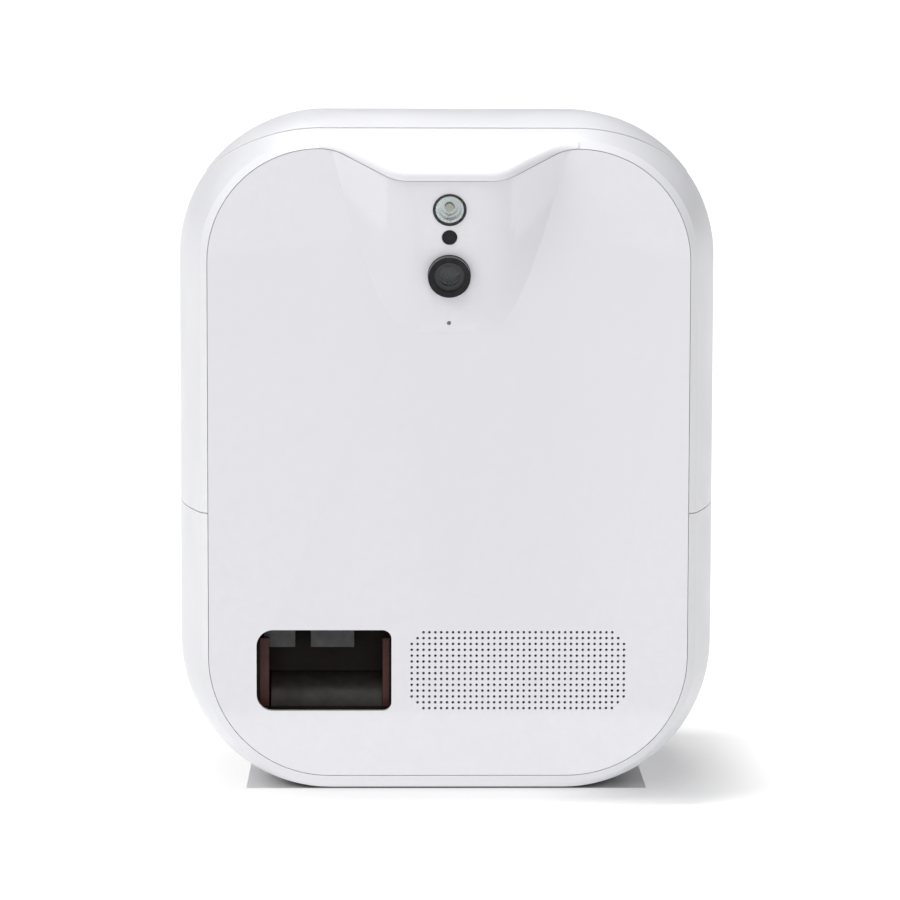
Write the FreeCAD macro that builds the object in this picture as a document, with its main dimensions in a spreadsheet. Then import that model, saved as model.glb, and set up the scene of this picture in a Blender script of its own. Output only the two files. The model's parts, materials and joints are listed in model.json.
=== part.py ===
import FreeCAD, Part
import math
import os
import re
import Sketcher

# Treat feeder with a camera, in millimetres. +Z is up, the front faces -Y and the
# origin is on the floor under the middle of the body. Depths are counted backwards
# from the flat front face of the front panel, which stands at Y = panel_y.

doc = FreeCAD.newDocument("treat_feeder")
sheet = doc.addObject("Spreadsheet::Sheet", "dims")

DRIVING = {
    # body shell: a rounded box whose flanks swell towards the middle of its depth
    "body_width": 187.0,
    "body_top": 235.8,
    "body_depth": 140.0,
    "panel_y": -62.15,
    "outline_bottom": -1.5,
    "top_radius": 50.0,
    "bottom_radius": 53.0,
    "base_gap": 1.0,
    "wall": 2.4,
    "rim_depth": 3.4,
    "rim_inset": 11.93,
    "front_inset": 9.2,
    "front_swell": 57.0,
    "rear_inset": 9.0,
    "rear_swell": 95.0,
    "split_height": 100.4,
    "seam_gap": 0.2,
    # front panel and its nose
    "panel_inset": 12.1,
    "panel_thickness": 2.2,
    "ledge_inset": 14.6,
    "dip_drop": 10.4,
    "dip_half_width": 43.5,
    "dip_flat": 13.8,
    "dip_radius": 18.5,
    "window_depth": 10.0,
    "nose_foot": 161.7,
    "nose_foot_width": 13.4,
    "nose_flare": 23.5,
    "nose_reach": 14.2,
    "nose_ridge": 7.4,
    "brow_reach": 15.7,
    "brow_radius": 14.0,
    "brow_front_height": 216.0,
    "brow_edge": 2.0,
    # lid
    "lid_front": 16.0,
    "lid_rear": 124.0,
    "lid_half_width": 84.2,
    "lid_front_corner": 40.0,
    "lid_rear_corner": 12.0,
    "lid_gap": 0.2,
    "lid_rise": 0.3,
    "notch_radius": 1.3,
    "notch_z": 214.5,
    "notch_front": 48.0,
    "notch_rear": 96.0,
    # finger grips low on the flanks: cones on the bottom corners' own radius
    "grip_front": 31.0,
    "grip_rear": 43.0,
    "grip_centre": 70.3,
    "grip_front_radius": 21.1,
    "grip_rear_radius": 17.9,
    "grip_lean": 27.0,
    # treat outlet and speaker grille in the panel
    "outlet_left": -65.2,
    "outlet_right": -19.3,
    "outlet_low": 32.8,
    "outlet_high": 60.6,
    "outlet_round_left": 5.6,
    "outlet_round_right": 3.0,
    "grille_left": -12.4,
    "grille_low": 33.75,
    "grille_pitch": 2.008,
    "grille_hole": 0.45,
    # camera, lamp and sensor on the nose
    "lens_z": 181.6,
    "lens_depth": -4.3,
    "lens_tilt": 15.6,
    "lens_radius": 7.1,
    "lamp_z": 203.7,
    "lamp_depth": -11.2,
    "lamp_tilt": 18.7,
    "lamp_radius": 5.5,
    "sensor_z": 194.4,
    "sensor_depth": -8.2,
    "sensor_tilt": 17.8,
    "sensor_radius": 2.5,
    "mic_z": 165.3,
    "mic_hole": 0.7,
    # treat hopper
    "hopper_half_width": 70.0,
    "hopper_front": 30.0,
    "hopper_rear": 121.0,
    "hopper_top": 212.0,
    "hopper_shoulder": 112.0,
    "hopper_wall": 2.0,
    "throat_left": -58.0,
    "throat_right": -26.0,
    "throat_front": 22.0,
    "throat_rear": 42.0,
    "throat_top": 66.0,
    # dispensing drum, gears and motor
    "drum_radius": 16.0,
    "drum_depth": 26.0,
    "drum_z": 29.0,
    "drum_left": -60.6,
    "drum_right": -22.4,
    "drum_clearance": 0.8,
    "pocket_radius": 7.0,
    "pocket_angle": 150.0,
    "shaft_radius": 2.0,
    "running_gap": 0.05,
    "gear_module": 0.8,
    "gear_left": -14.0,
    "gear_width": 4.0,
    "drum_teeth": 40.0,
    "pinion_teeth": 12.0,
    # chute around the drum
    "chute_left": -69.0,
    "chute_right": -16.4,
    "chute_rear": 47.0,
    "chute_top": 65.0,
    # rear
    "cover_thickness": 2.4,
    "board_depth": 111.0,
    "board_thickness": 1.6,
    "inlet_x": 42.0,
    "inlet_z": 30.0,
    "button_x": 20.0,
    "button_z": 30.0,
    "button_radius": 3.6,
    "foot_radius": 8.0,
    "foot_x": 42.0,
}

for row, (alias, value) in enumerate(DRIVING.items(), start=1):
    sheet.set(f"A{row}", alias)
    sheet.set(f"B{row}", str(value))
    sheet.setAlias(f"B{row}", alias)
doc.recompute()

parts = {}
X_AXIS = FreeCAD.Vector(1, 0, 0)
Y_AXIS = FreeCAD.Vector(0, 1, 0)
Z_AXIS = FreeCAD.Vector(0, 0, 1)
FACING_FRONT = FreeCAD.Rotation(X_AXIS, 90)


def size(alias):
    """A driving dimension's value."""
    return float(sheet.get(alias))


def formula(text):
    """An expression in the bare names of driving dimensions, made to read the sheet."""
    return re.sub(r"[a-z_]+", lambda m: "dims." + m[0] if m[0] in DRIVING else m[0], str(text))


def depth(text):
    """The Y of a depth behind the panel's face."""
    return f"panel_y + ({text})"


def bind(obj, values):
    for name, text in values.items():
        obj.setExpression(name, formula(text))
    return obj


def keep(node, obj):
    """Names an object as a sub-part of its own."""
    obj.Label = node
    parts[node] = obj
    return obj


def box(name, x_span, y_span, z_span):
    obj = doc.addObject("Part::Box", name)
    for side, axis, (low, high) in zip(("Length", "Width", "Height"), "xyz", (x_span, y_span, z_span)):
        bind(obj, {side: f"({high}) - ({low})", f"Placement.Base.{axis}": low})
    return obj


def rod(name, axis, radius, span, across):
    """A cylinder along a row axis; across gives the other two coordinates in X, Y, Z order."""
    obj = doc.addObject("Part::Cylinder", name)
    low, high = span
    turns = {"x": FreeCAD.Rotation(Y_AXIS, 90), "y": FreeCAD.Rotation(X_AXIS, -90), "z": FreeCAD.Rotation()}
    obj.Placement = FreeCAD.Placement(FreeCAD.Vector(), turns[axis])
    bind(obj, {"Radius": radius, "Height": f"({high}) - ({low})", f"Placement.Base.{axis}": low})
    for other, text in zip([a for a in "xyz" if a != axis], across):
        bind(obj, {f"Placement.Base.{other}": text})
    return obj


def nose_rod(name, module, radius, span):
    """A cylinder on a nose module's own axis, which leans down by the module's tilt."""
    obj = doc.addObject("Part::Cylinder", name)
    obj.Placement = FreeCAD.Placement(FreeCAD.Vector(), FreeCAD.Rotation(X_AXIS, 90))
    near, far = span
    tilt = f"{module}_tilt"
    bind(obj, {
        "Radius": radius,
        "Height": f"({far}) - ({near})",
        "Placement.Rotation.Angle": f"90 + {tilt}",
        "Placement.Base.y": f"panel_y + {module}_depth - ({near}) * cos({tilt} * 1 deg)",
        "Placement.Base.z": f"{module}_z - ({near}) * sin({tilt} * 1 deg)",
    })
    return obj


def fuse(name, shapes):
    obj = doc.addObject("Part::MultiFuse", name)
    obj.Shapes = shapes
    return obj


def cut(name, base, tool):
    obj = doc.addObject("Part::Cut", name)
    obj.Base = base
    obj.Tool = tool
    return obj


def common(name, shapes):
    obj = doc.addObject("Part::MultiCommon", name)
    obj.Shapes = shapes
    return obj


def fixed_shape(name, shape):
    """A shape from Part's own functions, for wires that no primitive gives."""
    obj = doc.addObject("Part::Feature", name)
    obj.Shape = shape
    return obj


def extrude(name, profile, direction, length):
    obj = doc.addObject("Part::Extrusion", name)
    obj.Base = profile
    obj.DirMode = "Custom"
    obj.Dir = direction
    obj.Solid = True
    return bind(obj, {"LengthFwd": length})


def loft(name, sections, ruled):
    obj = doc.addObject("Part::Loft", name)
    obj.Sections = sections
    obj.Solid = True
    obj.Ruled = ruled
    return obj


def rounded_sketch(name, x_span, z_span, radii, y):
    """A rounded rectangle facing front; radii are top left, bottom left, bottom right, top right."""
    sketch = doc.addObject("Sketcher::SketchObject", name)
    sketch.Placement = FreeCAD.Placement(FreeCAD.Vector(), FACING_FRONT)
    bind(sketch, {"Placement.Base.x": x_span[0], "Placement.Base.y": y, "Placement.Base.z": z_span[0]})
    wide, high, round_guess = 40.0, 40.0, 5.0
    corners = [(round_guess, high - round_guess), (round_guess, round_guess),
               (wide - round_guess, round_guess), (wide - round_guess, high - round_guess)]
    for turn in range(4):
        centre = FreeCAD.Vector(*corners[turn], 0)
        before = FreeCAD.Vector(*corners[turn - 1], 0)
        first = math.pi / 2 * (turn + 1)
        out = FreeCAD.Vector(math.cos(first), math.sin(first), 0) * round_guess
        sketch.addGeometry(Part.LineSegment(before + out, centre + out))
        circle = Part.Circle(centre, Z_AXIS, round_guess)
        sketch.addGeometry(Part.ArcOfCircle(circle, first, first + math.pi / 2))
    for turn in range(4):
        line, arc, following = 2 * turn, 2 * turn + 1, (2 * turn + 2) % 8
        sketch.addConstraint(Sketcher.Constraint("Tangent", line, 2, arc, 1))
        sketch.addConstraint(Sketcher.Constraint("Tangent", arc, 2, following, 1))
        sketch.addConstraint(Sketcher.Constraint("Horizontal" if turn % 2 == 0 else "Vertical", line))
        number = sketch.addConstraint(Sketcher.Constraint("Radius", arc, round_guess))
        bind(sketch, {f"Constraints[{number}]": radii[turn]})
    sketch.addConstraint(Sketcher.Constraint("PointOnObject", 2, 1, -2))
    sketch.addConstraint(Sketcher.Constraint("PointOnObject", 4, 1, -1))
    across = sketch.addConstraint(Sketcher.Constraint("DistanceX", -1, 1, 6, 1, wide))
    upright = sketch.addConstraint(Sketcher.Constraint("DistanceY", -1, 1, 0, 1, high))
    bind(sketch, {
        f"Constraints[{across}]": f"({x_span[1]}) - ({x_span[0]})",
        f"Constraints[{upright}]": f"({z_span[1]}) - ({z_span[0]})",
    })
    return sketch


def body_outline(name, inset, at_depth):
    """The body's front outline, drawn in by an inset, at a depth."""
    return rounded_sketch(
        name,
        (f"{inset} - body_width / 2", f"body_width / 2 - ({inset})"),
        (f"outline_bottom + {inset}", f"body_top - ({inset})"),
        [f"{corner}_radius - ({inset})" for corner in ("top", "bottom", "bottom", "top")],
        depth(at_depth),
    )


STATIONS = (0.0, 0.25, 0.5, 0.75, 1.0)


def swelling_body(name, thickness):
    """The body's form, drawn in all round by a thickness, as lofts that meet face to face."""
    front = []
    rear = []
    for step, share in enumerate(STATIONS):
        inset = f"front_inset * {(1 - share) ** 2} + {thickness}"
        where = f"rim_depth + (front_swell - rim_depth) * {share}"
        front.append(body_outline(f"{name}_front_{step}", inset, where))
        inset = f"rear_inset * {share ** 2} + {thickness}"
        where = f"rear_swell + (body_depth - rear_swell) * {share}"
        rear.append(body_outline(f"{name}_rear_{step}", inset, where))
    pieces = [
        loft(f"{name}_front", front, False),
        loft(f"{name}_middle", [front[-1], rear[0]], True),
        loft(f"{name}_rear", rear, False),
    ]
    return front[0], pieces


# outlines of the front panel, the brow and the nose, whose arcs and straights are tangent

def s_curve(start, end, radius):
    """Arc, straight and arc from start to end in a plane, level at both ends."""
    run = end[0] - start[0]
    rise = end[1] - start[1]
    way = math.copysign(1, run)
    up = math.copysign(1, rise)
    run, rise = abs(run), abs(rise)
    between = math.hypot(run, 2 * radius - rise)
    turn = math.asin(2 * radius / between) - math.atan2(2 * radius - rise, run)

    def place(along, across):
        return (start[0] + way * along, start[1] + up * across)

    half = turn / 2
    first_mid = place(radius * math.sin(half), radius * (1 - math.cos(half)))
    first_end = place(radius * math.sin(turn), radius * (1 - math.cos(turn)))
    last_start = place(run - radius * math.sin(turn), rise - radius * (1 - math.cos(turn)))
    last_mid = place(run - radius * math.sin(half), rise - radius * (1 - math.cos(half)))
    return [(start, first_mid, first_end), (first_end, last_start), (last_start, last_mid, end)]


def curve_edges(runs, place):
    """Edges from 2D runs of two points (straight) or three (arc), put in space by place."""
    edges = []
    for run in runs:
        points = [place(*p) for p in run]
        if len(points) == 2:
            edges.append(Part.LineSegment(*points).toShape())
        else:
            edges.append(Part.Arc(*points).toShape())
    return edges


def valley(half_width, flat, level, drop, radius):
    """A symmetric dip, or a bump where drop is negative, from the right edge to the left one."""
    right = s_curve((half_width, level), (flat, level - drop), radius)
    left = [tuple((-p[0], p[1]) for p in reversed(run)) for run in reversed(right)]
    return right + [((flat, level - drop), (-flat, level - drop))] + left


def panel_face(inset, y):
    """The front panel's outline with its dip under the brow, drawn in by an inset."""
    half = size("body_width") / 2 - inset
    low = size("outline_bottom") + inset
    top = size("body_top") - inset
    upper = size("top_radius") - inset
    lower = size("bottom_radius") - inset
    extra = inset - size("panel_inset")
    short = 1 - math.sqrt(0.5)
    low_middle = (half - lower * short, low + lower * short)
    top_middle = (half - upper * short, top - upper * short)
    runs = [
        ((half - lower, low), low_middle, (half, low + lower)),
        ((half, low + lower), (half, top - upper)),
        ((half, top - upper), top_middle, (half - upper, top)),
    ]
    dip = valley(half - upper, size("dip_flat") + extra * 0.3, top, size("dip_drop"), size("dip_radius"))
    runs += dip
    mirrored = [tuple((-p[0], p[1]) for p in reversed(run)) for run in reversed(runs[:3])]
    runs += mirrored
    runs.append(((-(half - lower), low), (half - lower, low)))
    wire = Part.Wire(curve_edges(runs, lambda a, b: FreeCAD.Vector(a, y, b)))
    return Part.Face(wire)


def panel_prism(name, inset, front, rear):
    face = panel_face(inset, size("panel_y") + front)
    return fixed_shape(name, face.extrude(FreeCAD.Vector(0, rear - front, 0)))


def top_height(at_depth):
    """Height of the body's top at a depth, also where the brow carries it on forwards."""
    share = (at_depth - size("rim_depth")) / (size("front_swell") - size("rim_depth"))
    return size("body_top") - size("front_inset") * (1 - share) ** 2


def brow_solid(thickness):
    """The brow over the nose: the body's top carried forwards, drawn in by a thickness."""
    face_y = size("panel_y")
    front = -size("brow_reach") + thickness
    back = size("rim_depth") + 2
    floor = nose_top() - 6
    sunk = 0.12
    slope = 2 * size("front_inset") / (size("front_swell") - size("rim_depth"))
    low = size("brow_front_height")
    high = top_height(back) - sunk
    chord = math.atan2(high - low, back - front)
    bow = math.hypot(high - low, back - front) / 2 * math.tan((chord - math.atan(slope)) / 2)
    middle = ((front + back) / 2 - bow * math.sin(chord), (low + high) / 2 + bow * math.cos(chord))
    arc = [FreeCAD.Vector(0, face_y + d, z - thickness) for d, z in ((front, low), middle, (back, high))]
    low_back = FreeCAD.Vector(0, face_y + back, floor)
    low_front = FreeCAD.Vector(0, face_y + front, floor)
    edges = [Part.Arc(*arc).toShape(), Part.makeLine(arc[2], low_back)]
    edges += [Part.makeLine(low_back, low_front), Part.makeLine(low_front, arc[0])]
    half = size("dip_half_width")
    side = Part.Face(Part.Wire(edges))
    side.translate(FreeCAD.Vector(-half, 0, 0))
    slab = side.extrude(FreeCAD.Vector(2 * half, 0, 0))
    plan = valley(half, size("dip_flat"), thickness, size("brow_reach"), size("brow_radius"))
    plan += [((-half, thickness), (-half, back)), ((-half, back), (half, back))]
    plan.append(((half, back), (half, thickness)))
    wire = Part.Wire(curve_edges(plan, lambda a, b: FreeCAD.Vector(a, face_y + b, floor)))
    column = Part.Face(wire).extrude(FreeCAD.Vector(0, 0, 60))
    return slab.common(column)


def soften_brow(brow):
    """Rounds the brow's top front edge."""
    edges = []
    for edge in brow.Edges:
        ends = [v.Point for v in edge.Vertexes]
        raised = all(p.z > nose_top() for p in ends)
        ahead = all(p.y < size("panel_y") + 0.01 for p in ends)
        across = abs(ends[0].x - ends[-1].x) > 0.1
        if raised and ahead and across:
            edges.append(edge)
    return brow.makeFillet(size("brow_edge"), edges)


def nose_section(name, z, thickness, back):
    """A level section through the nose, drawn in by a thickness: a flat, two bends and two flanks."""
    share = (z - size("nose_foot")) / (nose_top() - size("nose_foot"))
    outer_half = size("nose_foot_width") + size("nose_flare") * share ** 0.58
    half = outer_half - thickness
    ridge = size("nose_ridge") + 0.3 * outer_half - thickness / 2
    reach = size("nose_reach") * (min(share, 1) ** 1.25 + 0.3 * max(share - 1, 0)) - thickness
    bend = 0.18 * outer_half
    lean = math.atan2(reach, half - ridge)
    radius = bend / math.tan(lean / 2)
    near = (ridge - bend, -reach)
    middle = (near[0] + radius * math.sin(lean / 2), radius - reach - radius * math.cos(lean / 2))
    far = (ridge + bend * math.cos(lean), bend * math.sin(lean) - reach)
    right = [((half, back), (half, 0)), ((half, 0), far), (far, middle, near)]
    left = [tuple((-p[0], p[1]) for p in reversed(run)) for run in reversed(right)]
    runs = right + [(near, (-near[0], near[1]))] + left + [((-half, back), (half, back))]
    wire = Part.Wire(curve_edges(runs, lambda a, b: FreeCAD.Vector(a, size("panel_y") + b, z)))
    return fixed_shape(name, wire)


def nose_top():
    """The height of the dip's flat, where the brow meets the nose."""
    return size("body_top") - size("panel_inset") - size("dip_drop")


def nose(name, low, thickness, back):
    """The nose from a low level up past the dip, to be cut to the panel's outline."""
    steps = 6
    high = nose_top()
    levels = [low + (high - low) * step / steps for step in range(steps + 1)]
    levels.append(high + size("dip_drop") + 0.6)
    sections = [nose_section(f"{name}_{n}", z, thickness, back) for n, z in enumerate(levels)]
    return loft(name, sections, False)


# body shell

def housings():
    rim_start, outer = swelling_body("outer", "0")
    rim_front = body_outline("outer_rim", "rim_inset", "0")
    outer.append(loft("outer_rim_loft", [rim_front, rim_start], True))
    _, inner = swelling_body("inner", "wall")
    wide = ("-body_width", "body_width")
    long = (depth("-40"), depth("body_depth + 40"))
    above_floor = box("above_floor", wide, long, ("base_gap", "300"))
    form = common("body_form", [fuse("outer_all", outer), above_floor])
    hollow = common(
        "body_hollow",
        [fuse("inner_all", inner), box("above_base", wide, long, ("base_gap + wall", "300"))],
    )
    _, room = swelling_body("room", "wall + 0.3")
    above_inside = box("above_inside", wide, long, ("base_gap + wall + 0.2", "300"))
    free_room = common("free_room", [fuse("room_all", room), above_inside])
    shell = cut("body_shell", form, hollow)
    brow = cut(
        "brow",
        fixed_shape("brow_outer", soften_brow(brow_solid(0.0))),
        fixed_shape("brow_hollow", brow_solid(size("wall"))),
    )
    with_brow = fuse("shell_with_brow", [shell, brow])
    rear_outline = body_outline("rear_hole_outline", "rear_inset + wall", "body_depth - 6")
    rear_hole = extrude("rear_hole", rear_outline, Y_AXIS, "10")
    seat = panel_prism("panel_seat", size("panel_inset") - 0.15, -30, size("panel_thickness") + 0.15)
    window = panel_prism("panel_window", size("ledge_inset"), -30, size("window_depth"))
    opened = cut("opened_shell", with_brow, fuse("shell_openings", [seat, window, rear_hole]))
    lid_hole = box_plan("lid_hole", "lid_gap", ("190", "300"))
    grips = [grip(f"grip_{side + 1}", side) for side in (-1, 1)]
    foot_seats = []
    for number, (x, y) in enumerate(foot_places()):
        foot_seats.append(rod(f"foot_seat_{number}", "z", "foot_radius + 0.1", ("0", "2.2"), (x, y)))
    below = box("below_split", wide, long, ("-5", "split_height"))
    lower = common("lower_shell", [opened, below])
    keep("lower_housing", cut("lower_housing", lower, fuse("lower_recesses", grips + foot_seats)))
    above = box("above_split", wide, long, ("split_height + seam_gap", "300"))
    upper = common("upper_shell", [opened, above])
    notches = []
    for side in (-1, 1):
        place = (f"{side} * (lid_half_width + notch_radius / 2)", "notch_z")
        notch_span = (depth("notch_front"), depth("notch_rear"))
        notches.append(rod(f"lid_notch_{side + 1}", "y", "notch_radius", notch_span, place))
    keep("upper_housing", cut("upper_housing", upper, fuse("lid_openings", [lid_hole] + notches)))
    return form, free_room


def grip(name, side):
    """A finger grip: a cone that is deep at its front and runs out into the flank behind."""
    obj = doc.addObject("Part::Cone", name)
    obj.Placement = FreeCAD.Placement(FreeCAD.Vector(), FreeCAD.Rotation(X_AXIS, -90))
    across = f"{side} * (body_width / 2 - bottom_radius + grip_centre * cos(grip_lean * 1 deg))"
    return bind(obj, {
        "Radius1": "grip_front_radius",
        "Radius2": "grip_rear_radius",
        "Height": "grip_rear - grip_front",
        "Placement.Base.x": across,
        "Placement.Base.y": depth("grip_front"),
        "Placement.Base.z": "outline_bottom + bottom_radius - grip_centre * sin(grip_lean * 1 deg)",
    })


def foot_places():
    return [(f"{x} * foot_x", depth(d)) for x in (-1, 1) for d in ("42", "104")]


def box_plan(name, grow, z_span):
    """A column with the lid's plan, grown all round."""
    column = box(
        f"{name}_column",
        (f"-lid_half_width - ({grow})", f"lid_half_width + {grow}"),
        (depth(f"lid_front - ({grow})"), depth(f"lid_rear + {grow}")),
        z_span,
    )
    doc.recompute()
    rounded = doc.addObject("Part::Fillet", name)
    rounded.Base = column
    middle_y = column.Shape.BoundBox.Center.y
    corners = []
    for number, edge in enumerate(column.Shape.Edges, start=1):
        if abs(edge.tangentAt(edge.FirstParameter).z) > 0.9:
            end = "front" if edge.Vertexes[0].Y < middle_y else "rear"
            radius = size(f"lid_{end}_corner")
            corners.append((number, radius, radius))
    rounded.Edges = corners
    return rounded


def lid(form):
    """The lid: a skin that carries on the body's top, and lifts straight off."""
    top = doc.addObject("Part::Feature", "lid_form")
    top.Shape = form.Shape.copy()
    top.Placement.Base.z = size("lid_rise")
    under = doc.addObject("Part::Feature", "lid_under_form")
    under.Shape = form.Shape.copy()
    under.Placement.Base.z = size("lid_rise") - size("wall")
    skin = cut("lid_skin", top, under)
    keep("lid", common("lid", [skin, box_plan("lid_plan", "0", ("200", "300"))]))
    seal_z = ("hopper_top + 0.3", "hopper_top + 4")
    seal = box_ring("lid_seal", "hopper_half_width + 1", "hopper_front - 1", "hopper_rear + 1", "3", seal_z)
    keep("lid_seal", seal)
    plate = box(
        "lid_liner_plate",
        ("-hopper_half_width - 2", "hopper_half_width + 2"),
        (depth("hopper_front - 2"), depth("hopper_rear + 2")),
        ("hopper_top + 4", "hopper_top + 6"),
    )
    ribs = []
    for number, x in enumerate(("-40", "-14", "12", "38")):
        rib_y = (depth("front_swell"), depth("rear_swell"))
        rib_z = ("hopper_top + 5.9", "body_top + lid_rise - wall - 0.1")
        ribs.append(box(f"lid_rib_{number}", (x, f"{x} + 2"), rib_y, rib_z))
    keep("lid_liner", fuse("lid_liner", [plate] + ribs))


def box_ring(name, half, front, rear, thick, z_span):
    outer = box(f"{name}_outer", (f"-({half})", half), (depth(front), depth(rear)), z_span)
    inner = box(
        f"{name}_inner",
        (f"-({half}) + {thick}", f"{half} - {thick}"),
        (depth(f"{front} + {thick}"), depth(f"{rear} - {thick}")),
        (f"{z_span[0]} - 1", f"{z_span[1]} + 1"),
    )
    return cut(name, outer, inner)


# front panel

def grille_holes():
    """The speaker's holes: a grid of 37 by 14 whose corners are stepped off."""
    columns, rows = 37, 14
    steps = {0: 2, 1: 1, rows - 2: 1, rows - 1: 2}
    pins = []
    for row in range(rows):
        skip = steps.get(row, 0)
        for column in range(skip, columns - skip):
            x = size("grille_left") + column * size("grille_pitch")
            z = size("grille_low") + row * size("grille_pitch")
            place = FreeCAD.Vector(x, size("panel_y") - 1, z)
            pins.append(Part.makeCylinder(size("grille_hole"), 5, place, Y_AXIS))
    return fixed_shape("grille_holes", Part.makeCompound(pins))


def front_panel():
    slab = panel_prism("panel_slab", size("panel_inset"), 0, size("panel_thickness"))
    limit = panel_prism("nose_limit", size("panel_inset"), -40, size("panel_thickness"))
    bump = common("nose_bump", [nose("nose_form", size("nose_foot") + 0.6, 0.0, 1.0), limit])
    thickness = size("panel_thickness")
    hollow = nose("nose_hollow", size("nose_foot") + 18, thickness, thickness + 2)
    solid = fuse("panel_solid", [slab, bump])
    outlet = extrude("outlet_hole", rounded_sketch(
        "outlet_outline",
        ("outlet_left", "outlet_right"),
        ("outlet_low", "outlet_high"),
        ["outlet_round_left", "outlet_round_left", "outlet_round_right", "outlet_round_right"],
        depth("4"),
    ), FreeCAD.Vector(0, -1, 0), "8")
    tools = [
        hollow,
        outlet,
        nose_rod("lens_hole", "lens", "lens_radius + 0.15", ("-12", "8")),
        nose_rod("lamp_hole", "lamp", "lamp_radius + 0.15", ("-8", "8")),
        nose_rod("sensor_hole", "sensor", "sensor_radius + 0.1", ("-8", "6")),
        rod("mic_bore", "y", "mic_hole", (depth("-3"), depth("5")), ("0", "mic_z")),
    ]
    holed = cut("panel_holed", solid, fuse("panel_tools", tools))
    keep("front_panel", cut("front_panel", holed, grille_holes()))


def camera():
    ring = nose_rod("lens_ring_outer", "lens", "lens_radius", ("-6", "2.6"))
    bore = nose_rod("lens_ring_bore", "lens", "lens_radius - 1.9", ("-7", "3"))
    keep("camera_lens_ring", cut("camera_lens_ring", ring, bore))
    barrel = nose_rod("lens_barrel_outer", "lens", "lens_radius - 1.95", ("-12", "1.2"))
    well = nose_rod("lens_barrel_well", "lens", "3.5", ("-2.5", "2"))
    keep("camera_lens_barrel", cut("camera_lens_barrel", barrel, well))
    keep("camera_lens_glass", nose_rod("camera_lens_glass", "lens", "3.45", ("-2.4", "0.4")))
    board = doc.addObject("Part::Box", "camera_board")
    board.Placement = FreeCAD.Placement(FreeCAD.Vector(), FreeCAD.Rotation(X_AXIS, size("lens_tilt")))
    bind(board, {
        "Length": "22",
        "Width": "1.2",
        "Height": "18",
        "Placement.Base.x": "-11",
        "Placement.Base.y": "panel_y + lens_depth + 14.6",
        "Placement.Base.z": "lens_z - 6",
    })
    keep("camera_board", board)
    lamp = nose_rod("lamp_lens_body", "lamp", "lamp_radius", ("-3.4", "0.5"))
    well = nose_rod("lamp_lens_well", "lamp", "lamp_radius - 0.7", ("-4", "-0.6"))
    keep("lamp_lens", cut("lamp_lens", lamp, well))
    cup = nose_rod("lamp_cup_outer", "lamp", "lamp_radius - 0.8", ("-6", "-0.8"))
    rings = []
    for step in range(3):
        span = (f"{-4.6 + step * 1.1}", "1")
        rings.append(nose_rod(f"lamp_cup_step_{step}", "lamp", f"{1.7 + step * 1.1}", span))
    keep("lamp_reflector", cut("lamp_reflector", cup, fuse("lamp_cup_steps", rings)))
    keep("lamp_emitter", nose_rod("lamp_emitter", "lamp", "1.5", ("-4.5", "-2.6")))
    keep("light_sensor_window", nose_rod("light_sensor_window", "sensor", "sensor_radius", ("-2.4", "0.15")))
    keep("microphone", rod("microphone", "y", "3", (depth("2.5"), depth("5.5")), ("0", "mic_z")))


def camera_bracket():
    """A bridge behind the nose that the camera's boards are fixed to."""
    bridge = box("bridge_plate", ("-40", "40"), (depth("14"), depth("16")), ("168", "200"))
    legs = [box(f"bridge_leg_{n}", x_span, (depth("panel_thickness + 0.1"), depth("14.1")), ("168", "200"))
            for n, x_span in enumerate((("-40", "-38"), ("38", "40")))]
    keep("camera_bracket", fuse("camera_bracket", [bridge] + legs))


def speaker():
    middle_x = "grille_left + 18 * grille_pitch"
    middle_z = "grille_low + 6.5 * grille_pitch"

    def racetrack(name, half_x, half_z, near, far):
        outline = rounded_sketch(
            f"{name}_outline",
            (f"{middle_x} - {half_x}", f"{middle_x} + {half_x}"),
            (f"{middle_z} - {half_z}", f"{middle_z} + {half_z}"),
            [f"{half_z} - 1"] * 4,
            depth(near),
        )
        return extrude(name, outline, Y_AXIS, f"({far}) - ({near})")

    gasket = racetrack("gasket_out", 38.5, 15.5, 2.4, 4.4)
    keep("speaker_gasket", cut("speaker_gasket", gasket, racetrack("gasket_in", 37, 14, 2, 5)))
    frame = cut("speaker_rim", racetrack("rim_out", 38.5, 15.5, 4.5, 9.5), racetrack("rim_in", 34, 12, 4, 10))
    magnet = rod("speaker_magnet", "y", "11", (depth("9.5"), depth("19")), (middle_x, middle_z))
    back = racetrack("speaker_back", 36, 13.5, 9.4, 11)
    keep("speaker_frame", fuse("speaker_frame", [frame, back, magnet]))
    keep("speaker_cone", racetrack("speaker_cone", 33.8, 11.8, 5.5, 7))


# treat path

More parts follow.
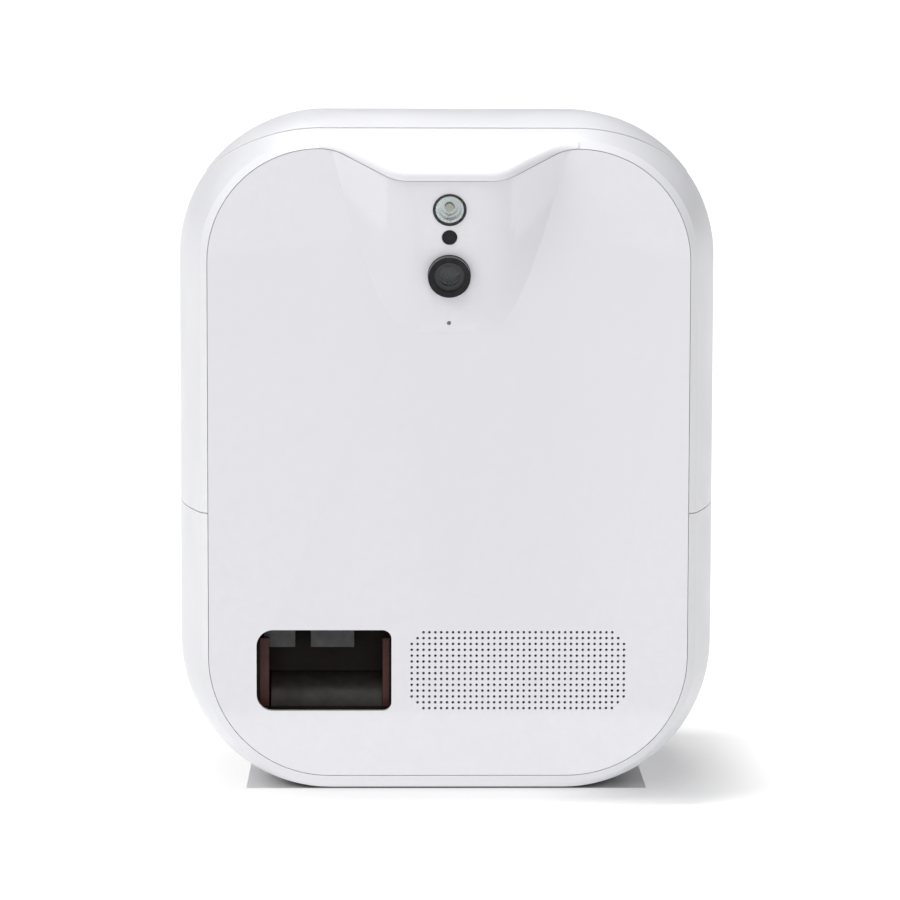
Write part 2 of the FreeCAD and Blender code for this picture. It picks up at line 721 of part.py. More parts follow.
def hopper(room):
    """The treat bin: straight walls above, a funnel to the drum below."""

    def level(name, z, x_span, y_span, inset):
        points = []
        for x, y in ((0, 0), (1, 0), (1, 1), (0, 1), (0, 0)):
            px = x_span[x] + inset * (1 - 2 * x)
            py = size("panel_y") + y_span[y] + inset * (1 - 2 * y)
            points.append(FreeCAD.Vector(px, py, z))
        return fixed_shape(name, Part.makePolygon(points))

    wide = (-size("hopper_half_width"), size("hopper_half_width"))
    deep = (size("hopper_front"), size("hopper_rear"))
    throat_x = (size("throat_left") - 2, size("throat_right") + 2)
    throat_y = (size("throat_front") - 2, size("throat_rear") + 2)

    def funnel(name, inset, top, bottom):
        shoulder = size("hopper_shoulder") + inset * 0.4
        neck = size("throat_top")
        top_level = level(f"{name}_0", top, wide, deep, inset)
        shoulder_level = level(f"{name}_1", shoulder, wide, deep, inset)
        neck_level = level(f"{name}_2", neck, throat_x, throat_y, inset)
        foot_level = level(f"{name}_3", bottom, throat_x, throat_y, inset)
        return loft(name, [top_level, shoulder_level, neck_level, foot_level], True)

    skin = size("hopper_wall")
    outer = funnel("hopper_outer", 0.0, size("hopper_top"), size("chute_top") + 0.1)
    inner = funnel("hopper_inner", skin, size("hopper_top") + 1, size("chute_top") - 1)
    ring_z = ("hopper_top - 2", "hopper_top")
    ring_half = "hopper_half_width + 11"
    ring = box_ring("hopper_ring", ring_half, "hopper_front - 10", "hopper_rear + 10", "11", ring_z)
    flange = common("hopper_flange", [ring, room])
    keep("treat_hopper", cut("treat_hopper", fuse("hopper_solid", [outer, flange]), inner))


def chute(room):
    """The housing round the drum, open to the hopper above and to the outlet in front."""
    drum_across = (depth("drum_depth"), "drum_z")
    block = box(
        "chute_block",
        ("chute_left", "chute_right"),
        (depth("panel_thickness + 0.2"), depth("chute_rear")),
        ("0", "chute_top"),
    )
    block = common("chute_solid", [block, room])
    drum_span = ("drum_left - 0.4", "drum_right + 0.4")
    tunnel_x = ("outlet_left + 0.6", "outlet_right - 0.5")
    tunnel_y = (depth("0"), depth("drum_depth - 8"))
    throat_y = (depth("throat_front"), depth("throat_rear"))
    tools = [
        rod("drum_bore", "x", "drum_radius + drum_clearance", drum_span, drum_across),
        box("tunnel", tunnel_x, tunnel_y, ("outlet_low", "outlet_high")),
        box("throat", ("throat_left", "throat_right"), throat_y, ("drum_z", "chute_top + 1")),
        rod("chute_bush_bore", "x", "shaft_radius + 2", ("chute_left - 1", "chute_right + 1"), drum_across),
    ]
    keep("outlet_chute", cut("outlet_chute", block, fuse("chute_tools", tools)))
    bushes = []
    sleeves = {"left": ("chute_left", "drum_left - 0.5"), "right": ("drum_right + 0.5", "chute_right")}
    for name, (low, high) in sleeves.items():
        sleeve = rod(f"bush_sleeve_{name}", "x", "shaft_radius + 1.95", (low, high), drum_across)
        bore_span = (f"{low} - 1", f"{high} + 1")
        bore = rod(f"bush_bore_{name}", "x", "shaft_radius + running_gap", bore_span, drum_across)
        bushes.append(cut(f"bush_{name}", sleeve, bore))
    keep("drum_bushes", fuse("drum_bushes", bushes))
    guide_y = (depth("8"), depth("10"))
    guide_z = ("outlet_low + 0.2", "outlet_high - 4")
    guides = [
        box("guide_left", ("outlet_left + 0.8", "outlet_left + 4"), guide_y, guide_z),
        box("guide_right", ("outlet_right - 3", "outlet_right - 0.7"), guide_y, guide_z),
    ]
    keep("chute_guides", fuse("chute_guides", guides))
    sensor_y = (depth("10.5"), depth("16"))
    sensor_z = ("53.2", "outlet_high - 0.2")
    sensors = [
        box("beam_left", ("-63", "-52.3"), sensor_y, sensor_z),
        box("beam_right", ("-46.9", "-32.1"), sensor_y, sensor_z),
    ]
    keep("treat_sensor", fuse("treat_sensor", sensors))


def gear_outline(teeth, phase):
    """A spur gear's outline in the YZ plane about the origin, with straight-sided teeth."""
    unit = size("gear_module")
    pitch = unit * teeth / 2
    step = 2 * math.pi / teeth
    root = pitch - 1.15 * unit
    tip = pitch + 0.8 * unit
    corners = ((root, -0.30), (tip, -0.11), (tip, 0.11), (root, 0.30))
    points = []
    for tooth in range(int(teeth)):
        for radius, share in corners:
            angle = phase + step * (tooth + share)
            points.append(FreeCAD.Vector(0, radius * math.cos(angle), radius * math.sin(angle)))
    points.append(points[0])
    return Part.Face(Part.makePolygon(points))


def gear(name, teeth, phase, at_depth, at_height, bore):
    """A gear that turns about X, with its bore."""
    blank = gear_outline(teeth, phase).extrude(FreeCAD.Vector(size("gear_width"), 0, 0))
    hole = Part.makeCylinder(bore, 30, FreeCAD.Vector(-5, 0, 0), X_AXIS)
    obj = fixed_shape(name, blank.cut(hole))
    obj.Placement.Base = FreeCAD.Vector(size("gear_left"), size("panel_y") + at_depth, at_height)
    return obj


def drive():
    across = (depth("drum_depth"), "drum_z")
    drum = rod("drum_blank", "x", "drum_radius", ("drum_left", "drum_right"), across)
    pockets = []
    pocket_span = ("drum_left + 3", "drum_right - 3")
    for number in range(2):
        turn = math.radians(size("pocket_angle") + 180 * number)
        dy = -size("drum_radius") * math.cos(turn)
        dz = size("drum_radius") * math.sin(turn)
        place = (depth(f"drum_depth + {dy}"), f"drum_z + {dz}")
        pockets.append(rod(f"pocket_{number}", "x", "pocket_radius", pocket_span, place))
    bore = rod("drum_shaft_bore", "x", "shaft_radius", ("drum_left - 1", "drum_right + 1"), across)
    keep("dispensing_drum", cut("dispensing_drum", drum, fuse("drum_tools", pockets + [bore])))
    shaft_span = ("chute_left + 1", "gear_left + gear_width + 1")
    keep("drum_shaft", rod("drum_shaft", "x", "shaft_radius", shaft_span, across))
    drum_depth, drum_z = size("drum_depth"), size("drum_z")
    keep("drum_gear", gear("drum_gear", size("drum_teeth"), 0.0, drum_depth, drum_z, size("shaft_radius")))
    spacing = size("gear_module") * (size("drum_teeth") + size("pinion_teeth")) / 2
    half_step = math.pi / size("pinion_teeth")
    phase = math.pi + half_step
    motor_depth = drum_depth + spacing
    keep("motor_pinion", gear("motor_pinion", size("pinion_teeth"), phase, motor_depth, drum_z, 1.5))
    motor_across = (depth(motor_depth), "drum_z")
    keep("motor_shaft", rod("motor_shaft", "x", "1.5", ("gear_left", "gear_left + 10"), motor_across))
    bracket_y = (depth("34"), depth("62"))
    plate = box("bracket_plate", ("-7.5", "-5.5"), bracket_y, ("base_gap + wall + 0.2", "44"))
    foot_z = ("base_gap + wall + 0.2", "base_gap + wall + 2.2")
    foot = box("bracket_foot", ("-5.6", "10"), bracket_y, foot_z)
    hole = rod("bracket_hole", "x", "5", ("-9", "-4"), motor_across)
    keep("motor_bracket", cut("motor_bracket", fuse("bracket_solid", [plate, foot]), hole))
    gearbox = rod("motor_gearbox", "x", "11", ("-5.3", "14"), motor_across)
    can = rod("motor_can", "x", "9.5", ("13.9", "40"), motor_across)
    end = rod("motor_end", "x", "3", ("39.9", "42"), motor_across)
    seat = rod("motor_shaft_seat", "x", "1.5 + running_gap", ("-6", "gear_left + 10.5"), motor_across)
    keep("gear_motor", cut("gear_motor", fuse("motor_solid", [gearbox, can, end]), seat))


# rear, electronics and fasteners

def rear():
    outline = body_outline("cover_outline", "rear_inset + wall + 0.15", "body_depth - cover_thickness")
    plate = extrude("cover_plate", outline, Y_AXIS, "cover_thickness")
    limit_z = ("base_gap + wall + 0.15", "300")
    limit = box("cover_limit", ("-body_width", "body_width"), (depth("100"), depth("160")), limit_z)
    trimmed = common("cover_trimmed", [plate, limit])
    through = (depth("130"), depth("150"))
    tools = [
        rod("inlet_hole", "y", "5", through, ("inlet_x", "inlet_z")),
        rod("button_hole", "y", "button_radius + 0.3", through, ("button_x", "button_z")),
    ]
    for number in range(9):
        x = f"{(number - 4) * 8} - 1.25"
        tools.append(box(f"vent_{number}", (x, f"{x} + 2.5"), through, ("70", "96")))
    sink_span = (depth("body_depth - 1.2"), depth("150"))
    head_span = (depth("body_depth - 1.2"), depth("body_depth - 0.1"))
    shank_span = (depth("body_depth - 9"), depth("body_depth - 1.1"))
    screws = []
    for number, (x, z) in enumerate(cover_screw_places()):
        tools.append(rod(f"screw_sink_{number}", "y", "3.3", sink_span, (x, z)))
        tools.append(rod(f"screw_hole_{number}", "y", "1.7", through, (x, z)))
        head = rod(f"screw_head_{number}", "y", "3", head_span, (x, z))
        shank = rod(f"screw_shank_{number}", "y", "1.5", shank_span, (x, z))
        solid = fuse(f"screw_solid_{number}", [head, shank])
        slot_y = (depth("body_depth - 0.8"), depth("body_depth + 1"))
        slots = []
        for way, (half_x, half_z) in enumerate((("1.8", "0.35"), ("0.35", "1.8"))):
            slot_x = (f"{x} - {half_x}", f"{x} + {half_x}")
            slot_z = (f"{z} - {half_z}", f"{z} + {half_z}")
            slots.append(box(f"slot_{way}_{number}", slot_x, slot_y, slot_z))
        screws.append(cut(f"screw_{number}", solid, fuse(f"slots_{number}", slots)))
    keep("rear_cover", cut("rear_cover", trimmed, fuse("cover_tools", tools)))
    keep("rear_cover_screws", fuse("rear_cover_screws", screws))


def cover_screw_places():
    return [(x, z) for x in ("-68", "68") for z in ("40", "195")]


def electronics():
    board_y = (depth("board_depth"), depth("board_depth + board_thickness"))
    keep("main_board", box("main_board", ("-60", "60"), board_y, ("12", "92")))
    rear_face = "board_depth + board_thickness"
    chips = [
        box("processor", ("-10", "6"), (depth(rear_face), depth(f"{rear_face} + 2")), ("50", "66")),
        box("memory", ("-34", "-20"), (depth(rear_face), depth(f"{rear_face} + 1.4")), ("52", "62")),
        box("radio_can", ("20", "44"), (depth(rear_face), depth(f"{rear_face} + 3")), ("62", "80")),
        rod("capacitor", "y", "4", (depth(rear_face), depth(f"{rear_face} + 11")), ("-45", "35")),
    ]
    keep("board_components", fuse("board_components", chips))
    legs = []
    leg_span = (depth(rear_face), depth("body_depth - cover_thickness"))
    for number, (x, z) in enumerate([(x, z) for x in ("-55", "55") for z in ("17", "87")]):
        legs.append(rod(f"standoff_{number}", "y", "2.6", leg_span, (x, z)))
    keep("board_standoffs", fuse("board_standoffs", legs))
    inlet = box(
        "inlet_block",
        ("inlet_x - 5.5", "inlet_x + 5.5"),
        (depth(rear_face), depth("body_depth - cover_thickness - 0.1")),
        ("inlet_z - 6", "inlet_z + 6"),
    )
    inlet_place = ("inlet_x", "inlet_z")
    collar_span = (depth("body_depth - cover_thickness - 0.2"), depth("body_depth - 0.3"))
    collar = rod("inlet_collar", "y", "4.8", collar_span, inlet_place)
    socket = rod("inlet_socket", "y", "2.8", (depth("body_depth - 11"), depth("body_depth + 1")), inlet_place)
    pin = rod("inlet_pin", "y", "1", (depth("body_depth - 11.5"), depth("body_depth - 2")), inlet_place)
    shell = cut("inlet_shell", fuse("inlet_solid", [inlet, collar]), socket)
    keep("power_inlet", fuse("power_inlet", [shell, pin]))
    button_place = ("button_x", "button_z")
    cap_span = (depth("body_depth - 6"), depth("body_depth - 0.05"))
    cap = rod("button_cap", "y", "button_radius", cap_span, button_place)
    flange_span = (depth("body_depth - 6"), depth("body_depth - cover_thickness - 0.3"))
    flange = rod("button_flange", "y", "button_radius + 1.2", flange_span, button_place)
    keep("setup_button", fuse("setup_button", [cap, flange]))
    switch_y = (depth(rear_face), depth("body_depth - 8"))
    switch = box("switch_body", ("button_x - 3", "button_x + 3"), switch_y, ("button_z - 3", "button_z + 3"))
    keep("tact_switch", switch)
    feet = []
    for number, place in enumerate(foot_places()):
        feet.append(rod(f"foot_{number}", "z", "foot_radius", ("0", "2.1"), place))
    keep("rubber_feet", fuse("rubber_feet", feet))


body_form, inside_room = housings()
doc.recompute()
lid(body_form)
front_panel()
camera()
camera_bracket()
speaker()
hopper(inside_room)
chute(inside_room)
drive()
rear()
electronics()
doc.recompute()

for obj in doc.Objects:
    if "Invalid" in obj.State or "Error" in obj.State:
        raise RuntimeError(f"{obj.Name} did not compute")
for node, obj in parts.items():
    if obj.Shape.isNull() or not obj.Shape.isValid():
        raise RuntimeError(f"{node} has no valid shape")

os.makedirs("parts", exist_ok=True)
for node, obj in parts.items():
    obj.Shape.exportStep(f"parts/{node}.step")
    limits = obj.Shape.BoundBox
    spans = (limits.XMin, limits.XMax, limits.YMin, limits.YMax, limits.ZMin, limits.ZMax)
    volume = round(obj.Shape.Volume / 1000, 2)
    print(node, len(obj.Shape.Solids), "solids", volume, "cm3", [round(v, 1) for v in spans])
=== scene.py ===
import bpy
import json
import math
from mathutils import Matrix, Vector


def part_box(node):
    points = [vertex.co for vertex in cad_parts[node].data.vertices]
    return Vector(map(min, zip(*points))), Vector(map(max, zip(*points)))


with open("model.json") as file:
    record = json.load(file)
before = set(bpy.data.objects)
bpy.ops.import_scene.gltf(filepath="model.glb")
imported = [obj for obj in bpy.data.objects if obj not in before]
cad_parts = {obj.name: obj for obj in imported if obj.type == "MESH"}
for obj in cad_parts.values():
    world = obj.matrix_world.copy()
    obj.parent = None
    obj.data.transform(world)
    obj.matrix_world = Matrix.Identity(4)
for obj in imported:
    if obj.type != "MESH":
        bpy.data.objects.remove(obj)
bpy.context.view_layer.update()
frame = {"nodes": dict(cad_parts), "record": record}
nodes = frame["nodes"]

# The object stands on the floor at Z = 0, its front panel faces -Y, and all lengths are in metres.
MM = 0.001
FACE_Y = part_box("lower_housing")[0].y


# node helpers

def feed(tree, socket, value):
    """Links a socket to another node's output, or sets it to a number, vector or colour."""
    if isinstance(value, bpy.types.NodeSocket):
        tree.links.new(value, socket)
    else:
        socket.default_value = value


def map_range(tree, source, span, low, high, interpolation="LINEAR"):
    """Runs from low to high as the source crosses the span."""
    node = tree.nodes.new("ShaderNodeMapRange")
    node.interpolation_type = interpolation
    node.inputs["From Min"].default_value, node.inputs["From Max"].default_value = span
    feed(tree, node.inputs["To Min"], low)
    feed(tree, node.inputs["To Max"], high)
    feed(tree, node.inputs["Value"], source)
    return node.outputs["Result"]


def compute(tree, operation, *values):
    node = tree.nodes.new("ShaderNodeMath")
    node.operation = operation
    for socket, value in zip(node.inputs, values):
        feed(tree, socket, value)
    return node.outputs["Value"]


def split_axes(tree, kind):
    """The X, Y and Z outputs of one kind of texture coordinate."""
    coordinates = tree.nodes.new("ShaderNodeTexCoord")
    axes = tree.nodes.new("ShaderNodeSeparateXYZ")
    tree.links.new(coordinates.outputs[kind], axes.inputs["Vector"])
    return axes.outputs


# camera, floor and light

def add_camera():
    """A long lens a little to the left of the middle, looking slightly down."""
    distance = 1.275
    pitch = math.radians(5.9)
    turn = math.radians(0.93)
    roll = math.radians(-0.14)
    target = Vector((0.45 * MM, FACE_Y, 122.2 * MM))
    forward = Vector((math.sin(turn) * math.cos(pitch), math.cos(turn) * math.cos(pitch), -math.sin(pitch)))
    right = forward.cross(Vector((0, 0, 1))).normalized()
    up = right.cross(forward)
    lean = Matrix.Rotation(roll, 3, forward)
    right, up = lean @ right, lean @ up
    data = bpy.data.cameras.new("camera")
    data.sensor_width = 36.0
    data.lens = 150.7
    camera = bpy.data.objects.new("camera", data)
    bpy.context.scene.collection.objects.link(camera)
    turned = Matrix((right, up, -forward)).transposed().to_4x4()
    camera.matrix_world = Matrix.Translation(target - forward * distance) @ turned
    bpy.context.scene.camera = camera


# Each sun: heading clockwise from the front, height and width in degrees, and strength.
SUNS = {
    "front_high": (0.0, 60.0, 30.0, 0.80),
    "front_low": (0.0, 35.0, 30.0, 0.52),
    "left": (60.0, 35.0, 30.0, 0.92),
    "top": (80.0, 83.0, 12.0, 1.60),
    "back": (170.0, 52.0, 30.0, 0.85),
}


def add_sun(name, heading, height, width, strength):
    data = bpy.data.lights.new(name, "SUN")
    data.angle = math.radians(width)
    data.energy = strength
    light = bpy.data.objects.new(name, data)
    bpy.context.scene.collection.objects.link(light)
    turn, rise = math.radians(heading), math.radians(height)
    towards = Vector((-math.sin(turn) * math.cos(rise), -math.cos(turn) * math.cos(rise), math.sin(rise)))
    light.rotation_euler = towards.to_track_quat("Z", "Y").to_euler()


def add_world():
    """A studio that is white at the horizon, dim above, a little lighter on the right, and dark below."""
    horizon, below = 1.06, 0.12
    overhead, right_side = 0.18, 0.04
    world = bpy.data.worlds.new("studio")
    world.use_nodes = True
    tree = world.node_tree
    axes = split_axes(tree, "Generated")
    side = map_range(tree, axes["X"], (0.0, 1.0), 0.0, right_side)
    sky = compute(tree, "MULTIPLY_ADD", axes["Z"], overhead, side)
    above = map_range(tree, axes["Z"], (0.04, 0.10), horizon, sky)
    level = map_range(tree, axes["Z"], (-0.03, -0.01), below, above)
    background = tree.nodes["Background"]
    background.inputs["Color"].default_value = (0.985, 0.99, 1.0, 1)
    feed(tree, background.inputs["Strength"], level)
    bpy.context.scene.world = world


def plain_paper():
    paper = bpy.data.materials.new("plain_paper")
    paper.use_nodes = True
    shader = paper.node_tree.nodes["Principled BSDF"]
    shader.inputs["Base Color"].default_value = (0.9, 0.9, 0.9, 1)
    shader.inputs["Roughness"].default_value = 0.9
    return paper


def painted_light_paper():
    """Paper glowing with painted light that washes out shade, strongly at the left and middle and easing off
    to the right of the object's middle so the shadow there shows; its base colour is darker where it glows
    more.
    """
    eases = (20 * MM, 90 * MM)
    glow = (0.70, 0.24)
    grey = (0.40, 0.78)
    paper = bpy.data.materials.new("painted_light_paper")
    paper.use_nodes = True
    tree = paper.node_tree
    shader = tree.nodes["Principled BSDF"]
    shader.inputs["Roughness"].default_value = 0.9
    shader.inputs["Specular IOR Level"].default_value = 0.1
    shader.inputs["Emission Color"].default_value = (1, 1, 1, 1)
    axes = split_axes(tree, "Object")
    for socket, (left, right) in (("Emission Strength", glow), ("Base Color", grey)):
        eased = map_range(tree, axes["X"], eases, left, right, "SMOOTHSTEP")
        feed(tree, shader.inputs[socket], eased)
    return paper


def add_floor(name, x_span, y_span, height, paper):
    mesh = bpy.data.meshes.new(name)
    (left, right), (front, rear) = x_span, y_span
    corners = [(left, front, height), (right, front, height), (right, rear, height), (left, rear, height)]
    mesh.from_pydata(corners, [], [(0, 1, 2, 3)])
    floor = bpy.data.objects.new(name, mesh)
    bpy.context.scene.collection.objects.link(floor)
    mesh.materials.append(paper)
    return floor


def add_stage():
    """A sheet that glows with painted light, a thin mat under the object without that glow so the shade
    under it stays dark, and a glowing sheet in front that reflections don't show.
    """
    far = 30.0
    sheet_front = FACE_Y - 184 * MM
    mat_half_width = 70 * MM
    mat_depth = (FACE_Y + 31 * MM, FACE_Y + 110 * MM)
    mat_top = 0.05 * MM
    # painted light: both floor sheets glow, washing out shade left of the object's middle
    paper = painted_light_paper()
    add_floor("floor_sheet", (-far, far), (sheet_front, far), 0.0, paper)
    beyond = add_floor("floor_beyond", (-far, far), (-far, sheet_front), 0.0, paper)
    beyond.visible_glossy = False
    # The mat lacks the painted glow, so the shade under the object stays dark as a contact shadow.
    add_floor("floor_mat", (-mat_half_width, mat_half_width), mat_depth, mat_top, plain_paper())
    add_world()
    bpy.context.scene.view_settings.view_transform = "Standard"
    for name, placing in SUNS.items():
        add_sun(name, *placing)


# materials

MIX_SOCKETS = {"RGBA": (6, 7, 2), "VECTOR": (4, 5, 1)}  # a Mix node's first and second input, and its output
NOISE_MIDDLE = (0.3, 0.7)
EDGE_POINTINESS = (0.53, 0.60)
WEAR_SCALE = 300.0
FACES_FRONT = 0.9999  # cosine to the front, above which a face looks straight ahead


class Paint:
    """A node material under construction: each method adds one layer of detail.

    A scale counts noise cells to the metre, an amount is a share of the colour or a step of roughness, and a
    depth is a length.
    """

    def __init__(self, name, colour, roughness):
        self.material = bpy.data.materials.new(name)
        self.material.use_nodes = True
        self.tree = self.material.node_tree
        self.shader = self.tree.nodes["Principled BSDF"]
        self.shader.inputs["Base Color"].default_value = (*colour, 1)
        self.shader.inputs["Roughness"].default_value = roughness
        self.colour = colour
        self.roughness = roughness
        self.coordinates = self.tree.nodes.new("ShaderNodeTexCoord")
        self.base = None
        self.normal = None

    def noise(self, scale, detail=3.0, stretch=(1, 1, 1)):
        mapping = self.tree.nodes.new("ShaderNodeMapping")
        mapping.inputs["Scale"].default_value = stretch
        feed(self.tree, mapping.inputs["Vector"], self.coordinates.outputs["Object"])
        noise = self.tree.nodes.new("ShaderNodeTexNoise")
        noise.inputs["Scale"].default_value = scale
        noise.inputs["Detail"].default_value = detail
        feed(self.tree, noise.inputs["Vector"], mapping.outputs["Vector"])
        return noise.outputs["Fac"]

    def spread(self, source, low, high):
        """A noise's middle range, stretched to run from low to high."""
        return map_range(self.tree, source, NOISE_MIDDLE, low, high)

    def mix(self, factor, first, second, kind="RGBA"):
        mixer = self.tree.nodes.new("ShaderNodeMix")
        mixer.data_type = kind
        first_in, second_in, out = MIX_SOCKETS[kind]
        feed(self.tree, mixer.inputs["Factor"], factor)
        for index, value in ((first_in, first), (second_in, second)):
            colour = (*value, 1) if isinstance(value, tuple) else value
            feed(self.tree, mixer.inputs[index], colour)
        return mixer.outputs[out]

    def coat(self, base):
        """Makes a colour output the material's colour so far."""
        self.base = base
        feed(self.tree, self.shader.inputs["Base Color"], base)
        return self

    def mottle(self, scale, amount):
        """Slow colour variation, lighter and darker by amount."""
        dark = tuple(c * (1 - amount) for c in self.colour)
        light = tuple(min(1.0, c * (1 + amount)) for c in self.colour)
        return self.coat(self.mix(self.spread(self.noise(scale), 0.0, 1.0), dark, light))

    def worn_edges(self, colour, strength):
        """A slight change of colour along convex edges, broken up by noise."""
        geometry = self.tree.nodes.new("ShaderNodeNewGeometry")
        edges = map_range(self.tree, geometry.outputs["Pointiness"], EDGE_POINTINESS, 0.0, strength)
        patches = self.spread(self.noise(WEAR_SCALE), 0.3, 1.0)
        return self.coat(self.mix(compute(self.tree, "MULTIPLY", edges, patches), self.base, colour))

    def painted_recess_shade(self, colour, distance):
        """Painted shade: a darker, warmer colour where neighbouring surfaces close in, so recesses and seams
        look shaded.
        """
        closeness = self.tree.nodes.new("ShaderNodeAmbientOcclusion")
        closeness.inputs["Distance"].default_value = distance
        closeness.samples = 6
        return self.coat(self.mix(closeness.outputs["AO"], colour, self.base))

    def uneven_gloss(self, scale, amount):
        rough = self.spread(self.noise(scale, 4.0), self.roughness - amount, self.roughness + amount)
        feed(self.tree, self.shader.inputs["Roughness"], rough)
        return self

    def soft_edges(self, radius):
        """Rounds the shading over edges, under any bump laid on later."""
        bevel = self.tree.nodes.new("ShaderNodeBevel")
        bevel.samples = 6
        bevel.inputs["Radius"].default_value = radius
        self.normal = bevel.outputs["Normal"]
        return self

    def flat_front(self):
        """Shades the faces that look straight ahead by their own plane, under any bump laid on later."""
        geometry = self.tree.nodes.new("ShaderNodeNewGeometry")
        facing = self.tree.nodes.new("ShaderNodeVectorMath")
        facing.operation = "DOT_PRODUCT"
        facing.inputs[1].default_value = (0, -1, 0)
        feed(self.tree, facing.inputs[0], geometry.outputs["True Normal"])
        flat = compute(self.tree, "GREATER_THAN", facing.outputs["Value"], FACES_FRONT)
        self.normal = self.mix(flat, geometry.outputs["Normal"], geometry.outputs["True Normal"], "VECTOR")
        return self

    def bump(self, source, depth):
        node = self.tree.nodes.new("ShaderNodeBump")
        node.inputs["Distance"].default_value = depth
        feed(self.tree, node.inputs["Height"], source)
        if self.normal is not None:
            feed(self.tree, node.inputs["Normal"], self.normal)
        self.normal = node.outputs["Normal"]
        feed(self.tree, self.shader.inputs["Normal"], self.normal)
        return self

    def grain(self, scale, depth, stretch=(1, 1, 1)):
        return self.bump(self.noise(scale, 2.0, stretch), depth)

    def set(self, **values):
        """Sets the shader's own sockets, named with _ for a space."""
        for name, value in values.items():
            self.shader.inputs[name.replace("_", " ")].default_value = value
        return self


def shell_white():
    """The casing's satin white plastic."""
    paint = Paint("shell_white", (0.705, 0.706, 0.733), 0.38)
    paint.mottle(scale=9.0, amount=0.006).worn_edges((0.82, 0.82, 0.83), strength=0.4)
    paint.uneven_gloss(scale=40.0, amount=0.05)
    # painted shade: a warm dark tint in the casing's recesses, seams and grips, laid on by ambient occlusion
    paint.painted_recess_shade((0.45, 0.40, 0.40), 2.0 * MM).soft_edges(0.35 * MM)
    return paint.grain(scale=2600.0, depth=0.02 * MM).material


def panel_white():
    """The front panel's polished white plastic."""
    paint = Paint("panel_white", (0.717, 0.712, 0.745), 0.06)
    paint.mottle(scale=7.0, amount=0.004).worn_edges((0.80, 0.80, 0.81), strength=0.3)
    paint.uneven_gloss(scale=25.0, amount=0.015)
    return paint.flat_front().grain(scale=900.0, depth=0.0015 * MM).material


def liner_grey():
    """The grey plastic of the hopper and the lid's liner."""
    paint = Paint("liner_grey", (0.55, 0.56, 0.58), 0.42)
    paint.mottle(scale=20.0, amount=0.02).worn_edges((0.65, 0.65, 0.66), strength=0.5)
    return paint.uneven_gloss(scale=60.0, amount=0.06).grain(scale=1500.0, depth=0.03 * MM).material


def black_gloss():
    """The polished black plastic round the lens and over the light sensor."""
    paint = Paint("black_gloss", (0.012, 0.012, 0.014), 0.12)
    paint.mottle(scale=60.0, amount=0.15).worn_edges((0.05, 0.05, 0.055), strength=0.4)
    return paint.uneven_gloss(scale=200.0, amount=0.04).grain(scale=1500.0, depth=0.003 * MM).material


def black_matte():
    """The matt black plastic of the lens barrel, sensor blocks, brackets, sockets and chips."""
    paint = Paint("black_matte", (0.03, 0.03, 0.033), 0.5)
    paint.mottle(scale=50.0, amount=0.15).worn_edges((0.10, 0.10, 0.10), strength=0.5)
    return paint.uneven_gloss(scale=120.0, amount=0.08).grain(scale=2200.0, depth=0.03 * MM).material


def lens_glass():
    """Clear glass with the faintest waviness."""
    paint = Paint("lens_glass", (0.86, 0.90, 0.90), 0.04)
    paint.mottle(scale=80.0, amount=0.03).uneven_gloss(scale=150.0, amount=0.02)
    return paint.grain(scale=300.0, depth=0.002 * MM).set(IOR=1.5, Transmission_Weight=1.0).material


def reflector():
    """The metal-coated cup behind the lamp."""
    paint = Paint("reflector", (0.62, 0.62, 0.62), 0.28)
    paint.mottle(scale=120.0, amount=0.05).uneven_gloss(scale=300.0, amount=0.06)
    return paint.grain(scale=1800.0, depth=0.01 * MM).set(Metallic=1.0).material


def emitter():
    """The lamp's yellowish chip."""
    paint = Paint("emitter", (0.80, 0.78, 0.62), 0.2)
    paint.mottle(scale=300.0, amount=0.05).uneven_gloss(scale=300.0, amount=0.04)
    return paint.grain(scale=2000.0, depth=0.01 * MM).material


def circuit_board():
    """Green lacquer over a pattern of copper tracks."""
    paint = Paint("circuit_board", (0.02, 0.16, 0.08), 0.32).mottle(scale=60.0, amount=0.12)
    tracks = paint.tree.nodes.new("ShaderNodeTexBrick")
    tracks.inputs["Scale"].default_value = 120.0
    tracks.inputs["Mortar Size"].default_value = 0.06
    feed(paint.tree, tracks.inputs["Vector"], paint.coordinates.outputs["Object"])
    paint.coat(paint.mix(tracks.outputs["Fac"], paint.base, (0.05, 0.30, 0.16)))
    return paint.uneven_gloss(scale=200.0, amount=0.05).bump(tracks.outputs["Fac"], depth=0.03 * MM).material


def chute_brown():
    """The chute's dull, nearly black plastic."""
    paint = Paint("chute_brown", (0.008, 0.005, 0.003), 0.5)
    paint.mottle(scale=40.0, amount=0.12).worn_edges((0.03, 0.02, 0.015), strength=0.5)
    paint.uneven_gloss(scale=100.0, amount=0.08).grain(scale=1600.0, depth=0.03 * MM)
    return paint.set(Specular_IOR_Level=0.15).material


def guide_red_brown():
    """The dark red-brown plastic of the chute's guides."""
    paint = Paint("guide_red_brown", (0.045, 0.006, 0.004), 0.45)
    paint.mottle(scale=50.0, amount=0.15).worn_edges((0.08, 0.03, 0.02), strength=0.4)
    return paint.uneven_gloss(scale=100.0, amount=0.08).grain(scale=1600.0, depth=0.02 * MM).material


def drum_grey():
    """The drum's dark warm grey plastic."""
    paint = Paint("drum_grey", (0.011, 0.0095, 0.0085), 0.42)
    paint.mottle(scale=45.0, amount=0.10).worn_edges((0.04, 0.037, 0.035), strength=0.5)
    paint.uneven_gloss(scale=90.0, amount=0.08).grain(scale=1400.0, depth=0.03 * MM)
    return paint.set(Specular_IOR_Level=0.2).material


def gear_nylon():
    """The gears' unpainted nylon."""
    paint = Paint("gear_nylon", (0.80, 0.78, 0.70), 0.4)
    paint.mottle(scale=70.0, amount=0.03).worn_edges((0.88, 0.87, 0.82), strength=0.5)
    return paint.uneven_gloss(scale=150.0, amount=0.06).grain(scale=1500.0, depth=0.02 * MM).material


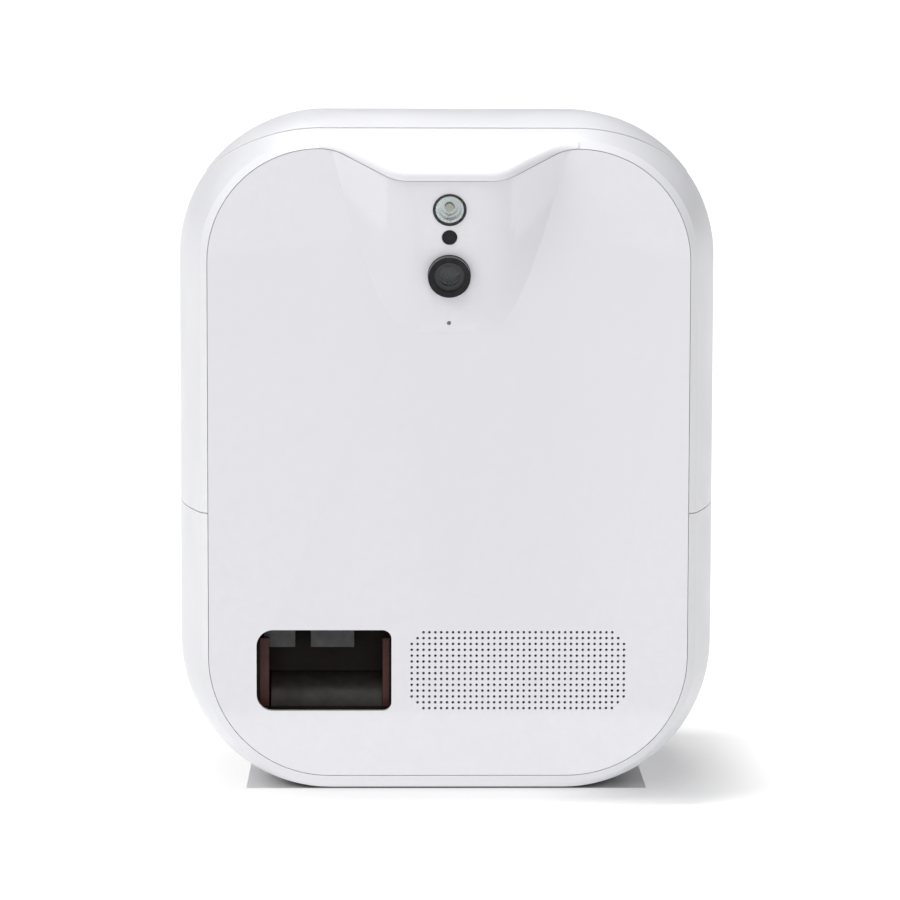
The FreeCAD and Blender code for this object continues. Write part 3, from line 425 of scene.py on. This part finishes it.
def steel():
    """Steel with fine lines along X."""
    paint = Paint("steel", (0.58, 0.58, 0.59), 0.3)
    paint.mottle(scale=80.0, amount=0.06).worn_edges((0.75, 0.75, 0.76), strength=0.5)
    paint.uneven_gloss(scale=150.0, amount=0.08).grain(scale=900.0, depth=0.02 * MM, stretch=(0.05, 1, 1))
    return paint.set(Metallic=1.0).material


def brass():
    """Brass with fine lines along Y."""
    paint = Paint("brass", (0.72, 0.52, 0.24), 0.3)
    paint.mottle(scale=90.0, amount=0.08).worn_edges((0.85, 0.68, 0.38), strength=0.5)
    paint.uneven_gloss(scale=150.0, amount=0.08).grain(scale=900.0, depth=0.02 * MM, stretch=(1, 0.1, 1))
    return paint.set(Metallic=1.0).material


def soft_rubber():
    """The black rubber of the feet, the lid's seal and the speaker's gasket."""
    paint = Paint("soft_rubber", (0.045, 0.045, 0.047), 0.65)
    paint.mottle(scale=60.0, amount=0.15).worn_edges((0.09, 0.09, 0.09), strength=0.5)
    return paint.uneven_gloss(scale=120.0, amount=0.08).grain(scale=1300.0, depth=0.05 * MM).material


def speaker_paper():
    """The speaker cone's dark pressed paper."""
    paint = Paint("speaker_paper", (0.030, 0.022, 0.026), 0.8)
    paint.mottle(scale=150.0, amount=0.25).uneven_gloss(scale=200.0, amount=0.08)
    return paint.grain(scale=2500.0, depth=0.06 * MM).material


# Each function is named after its slot in the record.
MAKERS = (
    shell_white, panel_white, liner_grey, black_gloss, black_matte, lens_glass,
    reflector, emitter, circuit_board, chute_brown, guide_red_brown, drum_grey,
    gear_nylon, steel, brass, soft_rubber, speaker_paper,
)


def dress_nodes():
    """Gives every CAD node the material of its slot in the record."""
    made = {maker.__name__: maker() for maker in MAKERS}
    for entry in frame["record"]["subparts"]:
        mesh = nodes[entry["node"]].data
        mesh.materials.clear()
        mesh.materials.append(made[entry["material_slot"]])


def even_shading(node):
    """Takes the small errors out of the normals beside a flat face."""
    modifier = nodes[node].modifiers.new("even_shading", "WEIGHTED_NORMAL")
    modifier.keep_sharp = True


add_camera()
add_stage()
dress_nodes()
even_shading("front_panel")
